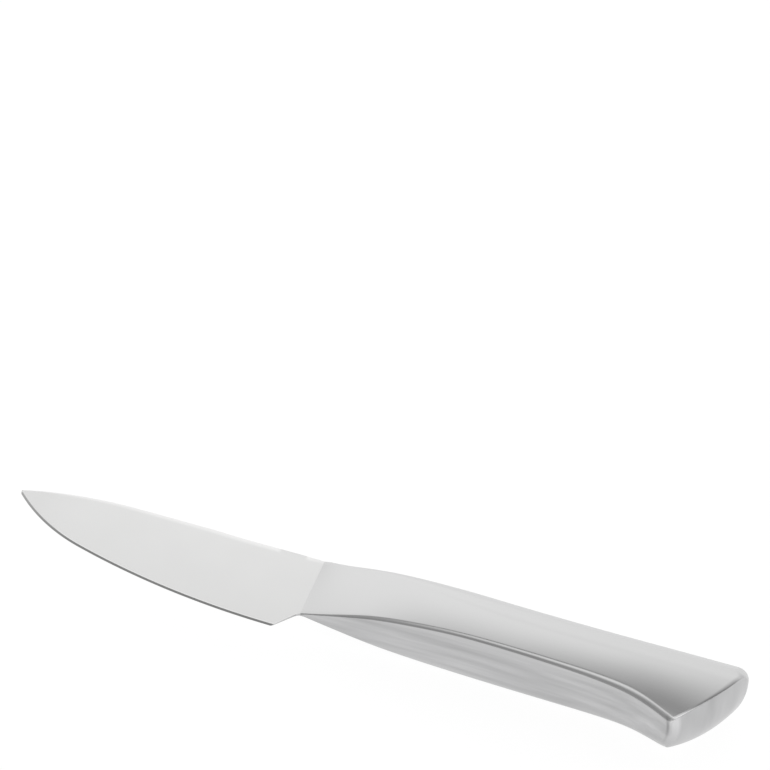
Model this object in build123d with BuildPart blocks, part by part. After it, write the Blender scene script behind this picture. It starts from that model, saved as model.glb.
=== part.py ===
from build123d import *
import os
from math import cos, radians, sin, tan

# All-steel paring knife, lying on its side, in millimetres.
# X runs from the tip to the butt, Y towards the spine, Z up, square to the blade.
# The origin is under the middle of the knife, at the height of its lowest point.

# Blade: lengths run from the tip, depths down from the straight spine
blade_length = 90.0
edge_length = 84.0
blade_height = 25.8
heel_radius = 0.8
tip_depth_share = 0.171
spine_drop_share = 0.405
point_shares = (0.062, 0.384)
belly_shares = (0.488, 0.868)
choil_shares = (0.5, 0.65)

# Thickness of the flat grinds at three corners, and the sharpened bevel
spine_thickness = 1.95
heel_thickness = 0.42
tip_thickness = 0.96
edge_land = 0.06
bevel_angle = 16.0

# Handle: from the crease at the end of the blade to the butt
handle_length = 116.4
handle_width = 17.4
handle_depth = 18.0
spine_hump = 1.4
butt_setback = 17.2
butt_low_share = 1.378
butt_lean = 27.0
butt_round = 5.0
butt_crown_radius = 22.0
ridge_radius = 0.75
butt_ridge_radius = 0.6

# Pressed halves, welds, and the spigot that the halves slide over
wall = 1.2
seam_width = 0.8
neck_weld_width = 1.0
spigot_length = 10.0
spigot_clearance = 0.15
overrun = 20.0

# The handle's cross-sections, from the crease to past the butt. Each row has the
# section's place as a share of the handle's length, then the rise of the spine as
# a share of the hump, the half-widths of crown and belly as shares of half the
# width, the depths of crown and belly as shares of the handle's depth, and the
# rounding of the belly's ridges as a share of the ridge's full radius.
neck_shares = (
    (0.000, 0.00, 0.112, 0.050, 0.020, 1.083, 0.25),
    (0.043, 0.05, 0.195, 0.245, 0.050, 1.066, 0.50),
    (0.094, 0.38, 0.345, 0.437, 0.110, 1.044, 0.80),
)
grip_shares = (
    (0.163, 0.79, 0.580, 0.660, 0.220, 1.027, 1.00),
    (0.248, 0.97, 0.790, 0.825, 0.350, 1.012, 1.00),
    (0.351, 1.00, 0.935, 0.940, 0.475, 1.003, 1.00),
    (0.471, 0.82, 0.992, 0.980, 0.545, 1.006, 1.00),
    (0.600, 0.67, 1.000, 0.970, 0.558, 1.029, 1.00),
    (0.703, 0.66, 0.992, 0.940, 0.557, 1.070, 1.00),
    (0.780, 0.72, 0.981, 0.910, 0.555, 1.138, 1.00),
    (0.858, 0.79, 0.968, 0.882, 0.555, 1.265, 1.00),
    (0.935, 0.85, 0.956, 0.857, 0.555, 1.440, 1.00),
    (1.020, 0.88, 0.943, 0.833, 0.555, 1.625, 1.00),
)
section_shares = neck_shares + grip_shares
straight_butt_share = 0.83
strip_count = 16
crown_steps = 6
quarter_turn = 90.0
half_turn = 180.0

# The knife's datum: the end of the tip, the straight spine and the mid-plane
tip_x = -(blade_length + handle_length) / 2
spine_y = (blade_height - spine_hump) / 2
mid_z = handle_width / 2
joint_share = grip_shares[0][0]
joint_length = blade_length + joint_share * handle_length
neck_depth = neck_shares[0][5] * handle_depth
tip_depth = tip_depth_share * blade_height
bevel_reach = (spine_thickness - edge_land) / 2 / tan(radians(bevel_angle))

# The butt seen from the side: a round corner by the spine, then one long arc
corner_centre = Vector(blade_length + handle_length - butt_round, spine_hump - butt_round)
lean_out = Vector(cos(radians(butt_lean)), -sin(radians(butt_lean)))
lean_down = Vector(-sin(radians(butt_lean)), -cos(radians(butt_lean)))
butt_low = Vector(blade_length + handle_length - butt_setback, -butt_low_share * handle_depth)
butt_chord = (corner_centre + lean_out * butt_round - butt_low).normalized()
butt_inward = Vector(-butt_chord.Y, butt_chord.X)


def side_plane(offset=0):
    """The plane of the knife's side view, with its origin at the tip's end of the spine."""
    return Plane(origin=(tip_x, spine_y, mid_z + offset), x_dir=(1, 0, 0), z_dir=(0, 0, 1))


def cross_plane(length):
    """A plane across the knife at a length from the tip, with its origin on the spine's line."""
    return Plane(origin=(tip_x + length, spine_y, mid_z), x_dir=(0, 0, -1), z_dir=(1, 0, 0))


def cross_section(share, inset):
    """One section of the handle: a half ellipse, two bowed flanks and a flat belly.

    Inside the wall the same section is drawn in straight lines.
    """
    place, rise, crown, belly, crown_depth, depth, rounding = share
    top = rise * spine_hump
    middle = top - crown_depth * handle_depth
    crown_height = top - inset - middle
    half_crown = crown * handle_width / 2 - inset
    half_belly = belly * handle_width / 2 - inset
    floor = inset - depth * handle_depth
    with BuildSketch(cross_plane(blade_length + place * handle_length)) as outline:
        if inset == 0:
            with BuildLine():
                EllipticalCenterArc((0, middle), half_crown, crown_height, arc_size=half_turn)
                TangentArc((-half_crown, middle), (-half_belly, floor), tangent=(0, -1))
                Line((-half_belly, floor), (half_belly, floor))
                TangentArc((half_crown, middle), (half_belly, floor), tangent=(0, -1))
            make_face()
            fillet(outline.vertices().group_by(Axis.Y)[0], rounding * ridge_radius)
        else:
            turns = [radians(half_turn * step / crown_steps) for step in range(crown_steps + 1)]
            crown_points = [(half_crown * cos(turn), middle + crown_height * sin(turn)) for turn in turns]
            with BuildLine():
                Polyline(*crown_points, (-half_belly, floor), (half_belly, floor), close=True)
            make_face()
    return outline.sketch


def butt_cutter(inset):
    """All that lies past the butt: its side profile turned about an axis inside the handle."""
    radius = butt_round - inset
    arc_start = corner_centre + lean_out * radius
    arc_end = butt_low + butt_inward * inset
    far = Vector(corner_centre.X + overrun, corner_centre.Y + radius)
    top = Vector(corner_centre.X, corner_centre.Y + radius)
    pivot = butt_low + butt_inward * butt_crown_radius
    axis = Axis(side_plane().from_local_coords(pivot), butt_chord)
    with BuildSketch(side_plane()) as profile:
        with BuildLine():
            CenterArc(corner_centre, radius, -butt_lean, quarter_turn + butt_lean)
            long_arc = TangentArc(arc_start, arc_end, tangent=lean_down)
            run_out = arc_end + long_arc % 1 * overrun
            Polyline(arc_end, run_out, (far.X, run_out.Y), far, top)
        make_face()
    with BuildPart() as cutter:
        revolve(profile.sketch.rotate(axis, -quarter_turn / 2), axis=axis, revolution_arc=quarter_turn)
    return cutter.part


def shares_at(place):
    """The row of shares at any place from the joint on, on a smooth curve through the table."""
    after = next(index for index, row in enumerate(section_shares) if row[0] > place)
    start, end = section_shares[after - 1], section_shares[after]
    following = section_shares[min(after + 1, len(section_shares) - 1)]
    step = (place - start[0]) / (end[0] - start[0])
    row = []
    for column, (low, high) in enumerate(zip(start, end)):
        before = section_shares[after - 2][column]
        low_slope = (high - before) / (end[0] - section_shares[after - 2][0])
        high_slope = (following[column] - low) / (following[0] - start[0])
        bend_low = low_slope * (end[0] - start[0]) - (high - low)
        bend_high = (high - low) - high_slope * (end[0] - start[0])
        bend = (1 - step) * bend_low + step * bend_high
        row.append(low + (high - low) * step + step * (1 - step) * bend)
    return row


def neck_form():
    """The neck and the start of the handle as one smooth loft."""
    with BuildPart() as form:
        for share in section_shares[: len(neck_shares) + 3]:
            add(cross_section(share, 0))
        loft()
    return form.part


def handle_form(inset):
    """The handle from the joint to the butt, inset all round, in many short straight strips."""
    strip_share = (straight_butt_share - joint_share) / strip_count
    with BuildPart() as form:
        for strip in range(strip_count + 1):
            add(cross_section(shares_at(joint_share + strip * strip_share), inset))
        add(cross_section(grip_shares[-1], inset))
        loft(ruled=True)
        add(butt_cutter(inset), mode=Mode.SUBTRACT)
    return form.part


def rounded_butt(form):
    """The handle with the ridges round its butt eased."""
    butt_faces = form.faces().filter_by(GeomType.REVOLUTION) + form.faces().filter_by(GeomType.TORUS)
    butt_edges = [edge for face in butt_faces for edge in face.edges()]
    rim = [edge for edge in butt_edges if sum(edge.is_same(other) for other in butt_edges) == 1]
    return form.fillet(butt_ridge_radius, rim)


def grind_plane(side):
    """The flat grind of one side of the blade, through its three corners, facing outwards."""
    spine_corner = Vector(blade_length, 0, side * spine_thickness / 2)
    heel_corner = Vector(edge_length, -blade_height, side * heel_thickness / 2)
    tip_corner = Vector(0, -tip_depth, side * tip_thickness / 2)
    outwards = (tip_corner - spine_corner).cross(heel_corner - spine_corner) * side
    origin = Vector(tip_x, spine_y, mid_z) + spine_corner
    return Plane(origin=origin, x_dir=tip_corner - spine_corner, z_dir=outwards)


outer = rounded_butt(handle_form(0))
inner = handle_form(wall)
spigot_form = handle_form(wall + spigot_clearance)
belly_point = (belly_shares[0] * edge_length, -belly_shares[1] * blade_height)
point_end = (point_shares[0] * edge_length, -point_shares[1] * blade_height)
choil_end = (
    edge_length + choil_shares[0] * (blade_length - edge_length),
    -blade_height + choil_shares[1] * (blade_height - neck_depth),
)

# The cutting edge from the heel to the tip, in three arcs that run into each other
with BuildLine(mode=Mode.PRIVATE) as edge_line:
    heel_arc = TangentArc((edge_length, -blade_height), belly_point, tangent=(-1, 0))
    belly_arc = TangentArc(belly_point, point_end, tangent=heel_arc % 1)
    point_arc = TangentArc(point_end, (0, -tip_depth), tangent=belly_arc % 1)

with BuildSketch(side_plane()) as blade_outline:
    with BuildLine():
        add(edge_line.line)
        spine_line = Line((blade_length, 0), (spine_drop_share * edge_length, 0))
        TangentArc(spine_line @ 1, (0, -tip_depth), tangent=spine_line % 1)
        choil_line = Line((edge_length, -blade_height), choil_end)
        TangentArc(choil_end, (blade_length, -neck_depth), tangent=choil_line % 1)
        Line((blade_length, -neck_depth), (blade_length, 0))
    make_face()
    fillet(blade_outline.vertices().sort_by(Axis.Y)[0], heel_radius)

# The wedge that the sharpened bevel takes off each side, run along the whole edge
heel_plane = Plane(
    origin=side_plane().from_local_coords((edge_length + bevel_reach, -blade_height)),
    x_dir=(0, 1, 0),
    z_dir=(-1, 0, 0),
)
with BuildLine(side_plane()) as bevel_path:
    Line((edge_length + bevel_reach, -blade_height), (edge_length, -blade_height))
    add(side_plane().location * edge_line.line)
    run_off = point_arc @ 1 + point_arc % 1 * bevel_reach
    Line((0, -tip_depth), (run_off.X, run_off.Y))
with BuildPart() as bevel:
    with BuildSketch(heel_plane):
        for side in (1, -1):
            with BuildLine():
                Polyline(
                    (-bevel_reach, side * (edge_land / 2)),
                    (0, side * (edge_land / 2)),
                    (bevel_reach, side * (spine_thickness / 2)),
                    (bevel_reach, side * spine_thickness),
                    (-bevel_reach, side * spine_thickness),
                    close=True,
                )
            make_face()
    sweep(path=bevel_path.line)

# The forging: the ground and sharpened blade, the neck and the spigot behind it
with BuildPart() as blade:
    add(blade_outline.sketch)
    extrude(amount=spine_thickness / 2, both=True)
    split(bisect_by=grind_plane(1), keep=Keep.BOTTOM)
    split(bisect_by=grind_plane(-1), keep=Keep.BOTTOM)
    add(bevel.part, mode=Mode.SUBTRACT)
    add(neck_form().split(cross_plane(joint_length), keep=Keep.BOTTOM))
    add(spigot_form.split(cross_plane(joint_length + spigot_length), keep=Keep.BOTTOM))
blade.part.label = "blade"

# The hollow handle behind the neck, then its welds and its two pressed halves
with BuildPart() as hollow:
    add(outer)
    add(inner, mode=Mode.SUBTRACT)

with BuildPart() as neck_weld:
    add(hollow.part)
    split(bisect_by=cross_plane(joint_length + neck_weld_width), keep=Keep.BOTTOM)
neck_weld.part.label = "neck_weld"

with BuildPart() as pressed:
    add(hollow.part)
    split(bisect_by=cross_plane(joint_length + neck_weld_width), keep=Keep.TOP)

with BuildPart() as handle_shell_right:
    add(pressed.part)
    split(bisect_by=side_plane(seam_width / 2), keep=Keep.TOP)
handle_shell_right.part.label = "handle_shell_right"

with BuildPart() as handle_shell_left:
    add(pressed.part)
    split(bisect_by=side_plane(-seam_width / 2), keep=Keep.BOTTOM)
handle_shell_left.part.label = "handle_shell_left"

with BuildPart() as seam_weld:
    add(pressed.part)
    split(bisect_by=side_plane(seam_width / 2), keep=Keep.BOTTOM)
    split(bisect_by=side_plane(-seam_width / 2), keep=Keep.TOP)
seam_weld.part.label = "seam_weld"

os.makedirs("parts", exist_ok=True)
export_step(blade.part, "parts/blade.step")
export_step(neck_weld.part, "parts/neck_weld.step")
export_step(handle_shell_right.part, "parts/handle_shell_right.step")
export_step(handle_shell_left.part, "parts/handle_shell_left.step")
export_step(seam_weld.part, "parts/seam_weld.step")
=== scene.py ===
import math

import bpy
import numpy as np
from bpy.props import FloatProperty, FloatVectorProperty, PointerProperty
from mathutils import Matrix, Vector


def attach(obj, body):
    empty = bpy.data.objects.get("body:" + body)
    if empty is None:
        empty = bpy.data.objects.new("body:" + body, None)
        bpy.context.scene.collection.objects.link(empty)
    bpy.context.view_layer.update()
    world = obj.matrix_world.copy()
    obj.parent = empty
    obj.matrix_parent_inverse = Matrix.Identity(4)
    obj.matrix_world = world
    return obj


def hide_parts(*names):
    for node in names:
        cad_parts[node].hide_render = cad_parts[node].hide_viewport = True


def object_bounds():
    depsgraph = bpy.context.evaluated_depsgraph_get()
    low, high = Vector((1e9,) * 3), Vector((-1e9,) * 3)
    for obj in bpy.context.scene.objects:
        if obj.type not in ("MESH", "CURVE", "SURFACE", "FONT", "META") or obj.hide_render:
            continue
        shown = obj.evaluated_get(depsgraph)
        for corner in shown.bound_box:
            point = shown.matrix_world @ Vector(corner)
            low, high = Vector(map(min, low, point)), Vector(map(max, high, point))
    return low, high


bl_info = {
    "name": "Paring knife",
    "version": (1, 0, 0),
    "blender": (4, 5, 0),
    "location": "3D View > Sidebar > Knife",
    "description": "Dresses the solids of an all-steel paring knife and sets it on a white floor",
    "category": "Object",
}

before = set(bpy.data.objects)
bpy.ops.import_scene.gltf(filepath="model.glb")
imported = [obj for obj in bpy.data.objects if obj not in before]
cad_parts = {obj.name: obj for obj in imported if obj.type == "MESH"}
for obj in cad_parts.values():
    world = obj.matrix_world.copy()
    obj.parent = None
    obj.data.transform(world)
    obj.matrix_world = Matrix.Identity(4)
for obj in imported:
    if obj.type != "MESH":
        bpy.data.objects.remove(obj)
CAD_BOX = [list(corner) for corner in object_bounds()]

MM = 0.001

# The handle's cross-sections from the crease to past the butt, one row each: place
# along the handle, rise of the spine, half-widths of crown and belly, depths of crown and
# belly, radius of the belly's ridges, bow of the sides. All are shares of the sizes below.
SECTION_SHARES = np.array((
    (0.000, 0.00, 0.112, 0.045, 0.020, 1.090, 0.12, 0.00),
    (0.043, 0.05, 0.195, 0.205, 0.050, 1.080, 0.18, 0.50),
    (0.094, 0.38, 0.345, 0.400, 0.110, 1.064, 0.28, 1.00),
    (0.163, 0.79, 0.575, 0.642, 0.220, 1.044, 0.42, 1.00),
    (0.248, 0.97, 0.780, 0.813, 0.350, 1.027, 0.50, 0.90),
    (0.351, 1.00, 0.918, 0.928, 0.475, 1.012, 0.52, 0.75),
    (0.471, 0.82, 0.965, 0.968, 0.545, 1.019, 0.58, 0.65),
    (0.600, 0.67, 0.975, 0.947, 0.558, 1.041, 0.68, 0.60),
    (0.703, 0.66, 0.968, 0.894, 0.557, 1.078, 0.84, 0.55),
    (0.780, 0.72, 0.960, 0.800, 0.555, 1.165, 1.00, 0.40),
    (0.845, 0.79, 0.950, 0.675, 0.555, 1.325, 1.00, 0.50),
    (0.935, 0.85, 0.940, 0.570, 0.555, 1.550, 1.00, 0.40),
    (1.020, 0.88, 0.930, 0.530, 0.555, 1.750, 1.00, 0.30),
))
LAST_PLACE = SECTION_SHARES[-1, 0]
JOINT_SHARE = 0.163

# Places on the blade's outline, as shares of the edge's length and the blade's height; the
# choil's are shares of the run from heel to crease and of the rise there
TIP_DEPTH_SHARE = 0.171
SPINE_DROP_SHARE = 0.405
POINT_SHARES = (0.0067, 0.2258)
BELLY_SHARES = (0.2877, 0.7034)
CHOIL_SHARES = (0.72, 0.82)

# The spine's dip: start and fall as shares of the blade's length, and its end past the crease
DIP_START, DIP_FALL, DIP_END = 0.62, 0.13, 2.5 * MM

# Shares of the section that its parts have near the tip: the crown and the ease at most, the
# grind at least; and the least height of the bevel and that of the row over its shoulder
LOW_CROWN, LOW_EASE, LOW_GRIND, LOW_SEAM, LOW_LAND, LOW_LINE = 0.2, 0.1, 0.3, 0.4, 0.5, 0.3
SHOULDER_EASE, BEVEL_LINE = 0.08 * MM, 0.35 * MM

# The pressed halves' inner side: its ridges as a share of the outer ones, its rim by the crown
INNER_RIDGE_SHARE, INNER_RIM = 0.3, 0.5 * MM

# The rim round the butt: where along the crown its soft rounding ends and how fast, least and
# most reach and share of the butt, extra reach over the sides, and the seam's distance from it
SOFT_END, SOFT_FADE, SIDE_PILLOW, SEAM_MARGIN = 0.95, 2.2, 2, 0.22
RIM_REACHES, RIM_SHARES = (0.03 * MM, 3 * MM), (0.001, 0.6)

# Columns of the grids round half a section, and rows along the handle
SEAM_COLUMNS, CROWN_COLUMNS, FLANK_COLUMNS, RIDGE_COLUMNS, BELLY_COLUMNS = 2, 20, 16, 12, 14
RIDGE_START = SEAM_COLUMNS + 1 + CROWN_COLUMNS + FLANK_COLUMNS
ALL_COLUMNS = RIDGE_START + RIDGE_COLUMNS + BELLY_COLUMNS + SEAM_COLUMNS
ACROSS_SEAM = np.arange(SEAM_COLUMNS + 1) / SEAM_COLUMNS
WELD_ROWS, GRIP_ROWS, RIM_ROWS, BUTT_ROWS = 2, 110, 10, 16
GRIP_CROWDING = 0.3
BISECTIONS = 48

# Rows along the blade, the neck and the spigot, and the runs that they divide
TIP_START, TIP_RUN, TIP_ROWS, TIP_CROWDING = 0.03 * MM, 6 * MM, 26, 1.8
CHOIL_RUN, CHOIL_ROWS = 1.5 * MM, 42
CREASE_RUN, CREASE_ROWS = 2 * MM, 12
BODY_ROWS, NECK_ROWS, SPIGOT_ROWS = 62, 26, 5

# The blade's edges that turn more than this stay sharp
SHARP_ANGLE = math.radians(14)

# Marks on the points: where the neck's steel starts before the crease, how fast it comes and
# where the bevel's ends; the most over the bevel, and the way round the butt's corner that the
# seam on the butt and the ring are given, in millimetres
NECK_START, NECK_FADE, BEVEL_END = 0.3 * MM, 0.4 * MM, 1 * MM
FAR_OVER_BEVEL, SEAM_WAY, RING_WAY = 9, (20, 3), -20

# Waves per metre of the steel's grain and clouds, along the knife, up to its spine and across
LONG_GRAIN, FINE_GRAIN, CROSS_GRIND = (400, 2600, 2600), (3000, 3000, 3000), (3000, 160, 160)
LONG_CLOUDS, BUTT_CLOUDS, BLADE_CLOUDS = (28, 420, 420), (150, 150, 25), (90, 90, 90)

# What grain and clouds add to shade, roughness and height, and the roughness under them
GRAIN_SHADE, GRAIN_ROUGHNESS, GRAIN_HEIGHT = 0.025, 0.05, 0.6e-6
CLOUD_SHADE, CLOUD_ROUGHNESS, CLOUD_HEIGHT = 0.6, 0.12, 4e-6
SATIN_ROUGHNESS, POLISHED_ROUGHNESS = 0.25, 0.17

# Millimetres round the butt's corner: middle, reach and fade of a bright band and a dark line,
# a painted highlight and a painted dark reflection, and where the ridges' painted highlight
# comes and goes; and the heights between which band and line come
PAINTED_CORNER_BAND, PAINTED_CORNER_LINE = (1.2, 0.6, 1), (-0.7, 0, 0.5)
RIM_HIGHLIGHT_COMES, RIM_HIGHLIGHT_GOES = (0, 2 / 3), (22 / 3, 2 / 3)
UPPER_SIDE = (-25 / 6, 25 / 6)
PAINTED_BAND_SHADE, PAINTED_LINE_SHADE, RIM_HIGHLIGHT_SHADE, RIM_HIGHLIGHT_ROUGHNESS = 0.3, 0.4, 0.9, 0.2

# Millimetres over the bevel's shoulder: the bevel darkened as painted shade, and the bright line
# along it, a painted highlight
BEVEL_FADE, PAINTED_BEVEL_GLINT = (0, -0.05), (0.2, 0, 0.2)
PAINTED_BEVEL_SHADE, BEVEL_ROUGHNESS, PAINTED_GLINT_SHADE = 0.25, 0.1, 0.1
FINE_SHADE, BLADE_CLOUD_SHADE = 0.02, 0.04

# The floor's reach in metres; its white, the part of it that takes shadows, and the painted
# shade that darkens it in reflections only: everywhere, and between two distances in front of the
# knife
FLOOR_REACH = 30.0
FLOOR_GLOW, FLOOR_SHADOW, FLOOR_PAINTED_SHADE, FLOOR_FRONT_SHADE = 0.93, 0.14, 0.13, 0.6
FLOOR_FRONT = (0.035, 0.135)

# Brightness of the studio: degrees about the X axis from the back over the top to the front
STUDIO_LEVELS = (
    (0, 0.97), (40, 1.0), (46, 0.955), (51, 0.885), (56, 0.79), (61, 0.69), (66, 0.60),
    (72, 0.49), (77, 0.40), (82, 0.29), (87, 0.26), (92, 0.38), (98, 0.75), (104, 0.95),
    (118, 0.95), (128, 0.70), (137, 0.48), (148, 0.34), (170, 0.34), (180, 0.50),
)

# How far the studio's box behind the knife fades towards the butt's side, between which x and
# degrees; and its strip overhead towards the blade, between which x and about which degrees
BOX_FADE, BOX_X, BOX_DEGREES = 0.22, (-0.16, 0.34), (93, 83)
STRIP_FADE, STRIP_X, STRIP_DEGREES = 0.6, (-0.15, -0.95 / 3), (115.2, 108 / 11, 180 / 11)

# The lamp behind the knife: width and height, power, direction and distance
LAMP_SIZE, LAMP_WATTS = (1.6, 0.6), 0.8
LAMP_WAY, LAMP_DISTANCE = (-0.05, 0.88, 0.48), 1.2


def length_prop(name, millimetres, description):
    """A size that the panel shows as a length, with its default in millimetres."""
    return FloatProperty(name=name, default=millimetres * MM, description=description,
                         subtype="DISTANCE", unit="LENGTH", precision=5)


def angle_prop(name, degrees, description):
    """An angle that the panel shows in degrees."""
    return FloatProperty(name=name, default=math.radians(degrees), description=description,
                         subtype="ANGLE")


class KnifeSizes(bpy.types.PropertyGroup):
    """Real sizes of the knife, in metres and radians."""

    blade_length: length_prop("Blade length", 90, "From the tip to the crease before the neck")
    edge_length: length_prop("Edge length", 84, "From the tip to the heel")
    blade_height: length_prop("Blade height", 25.8, "From the spine down to the heel")
    heel_radius: length_prop("Heel radius", 0.8, "Rounding of the heel's corner")
    spine_dip: length_prop("Spine dip", 0.32, "Fall of the spine before the neck")
    spine_thickness: length_prop("Spine thickness", 1.95, "Of the spine at the crease")
    heel_thickness: length_prop("Heel thickness", 0.42, "Of the grinds at the heel")
    tip_thickness: length_prop("Tip thickness", 0.96, "Of the grinds at the tip")
    spine_ease: length_prop("Spine ease", 0.12, "Height of the eased corners of the spine")
    edge_thickness: length_prop("Edge thickness", 0.4, "Of the grinds at the bevel's shoulder")
    steepest_grind: angle_prop("Steepest grind", 3, "Most that a grind leans near the point")
    edge_land: length_prop("Edge land", 0.06, "Thickness left at the cutting edge")
    bevel_angle: angle_prop("Bevel angle", 16, "Angle of the sharpened bevel on each side")
    handle_length: length_prop("Handle length", 116.4, "From the crease to the butt")
    handle_width: length_prop("Handle width", 17.4, "Across both halves at the widest place")
    handle_depth: length_prop("Handle depth", 18, "From spine to belly in the middle")
    spine_hump: length_prop("Spine hump", 1.4, "Rise of the handle's spine over the blade's")
    butt_setback: length_prop("Butt setback", 16.6, "How far the belly ends before the butt")
    butt_low: length_prop("Butt depth", 24.8, "Depth of the lower end of the butt's arc")
    butt_lean: angle_prop("Butt lean", 27, "Lean of the butt below its round corner")
    butt_round: length_prop("Butt corner", 5, "Radius of the corner between spine and butt")
    butt_crown: length_prop("Butt crown", 22, "Radius of the butt's crown across its width")
    ridge_radius: length_prop("Ridge radius", 2.4, "Largest rounding along the belly")
    rim_radius: length_prop("Rim radius", 0.5, "Rounding between sides and butt")
    crown_rim: length_prop("Crown rim", 4, "Rounding between the crown and the butt")
    corner_radius: length_prop("Corner radius", 3.2, "Rounding between belly and butt")
    flank_bow: length_prop("Flank bow", 0.42, "Largest bow from crown to ridge")
    wall: length_prop("Wall", 1.2, "Thickness of the pressed halves")
    seam_width: length_prop("Seam width", 0.8, "Width of the ground seam")
    neck_weld_width: length_prop("Neck weld width", 1, "Width of the ring weld")
    spigot_length: length_prop("Spigot length", 10, "Reach of the spigot into the handle")
    spigot_clearance: length_prop("Spigot clearance", 0.15, "Gap round the spigot")


def colour_prop(name, default, description):
    """A colour that the panel shows as a swatch."""
    return FloatVectorProperty(name=name, default=default, description=description,
                               subtype="COLOR", size=3, min=0, max=1)


class KnifeFinish(bpy.types.PropertyGroup):
    """Colours of the steel and of the stage."""

    blade_steel: colour_prop("Blade steel", (0.93, 0.93, 0.925), "Satin ground blade")
    side_steel: colour_prop("Side steel", (0.74, 0.74, 0.74), "Satin sides of the handle")
    # Partly real polish and partly painted shade: darker than the satin to stand in for what belly
    # and butt reflect
    polished_and_shaded_steel: colour_prop("Polished steel", (0.58, 0.58, 0.585), "Polished belly and butt")
    floor_white: colour_prop("Floor", (0.92, 0.92, 0.92), "Floor and backdrop")


class KnifeCamera(bpy.types.PropertyGroup):
    """Where the camera of the photograph stands, round the point that it looks at."""

    aim: FloatVectorProperty(name="Aim", default=(-20.6 * MM, 86.9 * MM, 8.7 * MM), size=3,
                             subtype="TRANSLATION", unit="LENGTH", precision=5,
                             description="Point on the mid-plane under the middle of the picture")
    distance: length_prop("Distance", 482.5, "From the aim to the camera")
    azimuth: angle_prop("Azimuth", -73.95, "Direction of the camera from above, from the X axis")
    elevation: angle_prop("Elevation", 42.1, "Height of the camera over the floor")
    roll: angle_prop("Roll", 3.2, "Turn of the camera about its own axis")
    lens: FloatProperty(name="Lens", default=72.9, description="Focal length in millimetres",
                        subtype="DISTANCE_CAMERA")


# Shape functions. In them a point is (u, v, w): u from the tip along the spine,
# v up from the blade's straight spine, w out from the mid-plane.

def into_frame(points, sizes):
    """Points (u, v, w) as points of the shared frame, by shifting the knife's own datum."""
    low, high = (np.array(corner) for corner in CAD_BOX)
    datum = np.array((low[0], high[1] - sizes.spine_hump, (low[2] + high[2]) / 2))
    return points + datum


def steps(count):
    """Even steps up to 1, without the one at 0."""
    return np.arange(1, count + 1) / count


def smooth_step(share):
    """A share eased at both ends: three times its square less twice its cube."""
    return share ** 2 * (3 - 2 * share)


def unit(vectors):
    """Vectors over their own lengths."""
    return vectors / np.maximum(np.linalg.norm(vectors, axis=-1, keepdims=True), 1e-12)


def round_corner(start, corner, end, turn, t):
    """The arc from start to end that touches both sides of a corner, at shares t of the way.

    It is the rational quadratic curve in which the corner weighs the cosine of half the turn.
    """
    first, last = (1 - t) ** 2, t ** 2
    middle = 2 * t * (1 - t) * np.cos(turn / 2)
    return (first * start + middle * corner + last * end) / (first + middle + last)


def section_points(u, parts):
    """Points from the u of each row and the parts (v, w) of its section, side by side."""
    v, w = (np.concatenate(values, axis=1) for values in zip(*parts))
    return np.stack((u + 0 * v, v, w), axis=-1)


def over_seam(top, middle, half_width, seam):
    """The crown's columns across the seam: a half ellipse at even widths."""
    w = seam * ACROSS_SEAM + 0 * half_width
    return middle + (top - middle) * np.sqrt(1 - (w / half_width) ** 2), w


def beside_seam(top, middle, half_width, seam):
    """The crown's other columns: the same half ellipse at even turns, down to its side."""
    first = np.arcsin(seam / half_width)
    turn = first + (math.pi / 2 - first) * steps(CROWN_COLUMNS)
    return middle + (top - middle) * np.cos(turn), half_width * np.sin(turn)


def natural_spline(places, rows, at):
    """Smooth values of a table at any places: the natural cubic through its rows.

    Between two rows it is the chord plus the cubic whose second slopes solve the
    usual three-term sums.
    """
    gaps = np.diff(places)
    count = len(places)
    sums = np.eye(count)
    right = np.zeros((count, rows.shape[1]))
    inner = np.arange(1, count - 1)
    sums[inner, inner - 1] = gaps[:-1]
    sums[inner, inner] = 2 * (gaps[:-1] + gaps[1:])
    sums[inner, inner + 1] = gaps[1:]
    rises = np.diff(rows, axis=0) / gaps[:, None]
    right[inner] = 6 * np.diff(rises, axis=0)
    bends = np.linalg.solve(sums, right)
    span = np.clip(np.searchsorted(places, at) - 1, 0, count - 2)
    gap = gaps[span][..., None]
    ahead = (at - places[span])[..., None] / gap
    behind = 1 - ahead
    chord = behind * rows[span] + ahead * rows[span + 1]
    bow = (behind ** 3 - behind) * bends[span] + (ahead ** 3 - ahead) * bends[span + 1]
    return chord + bow * gap ** 2 / 6


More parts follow.
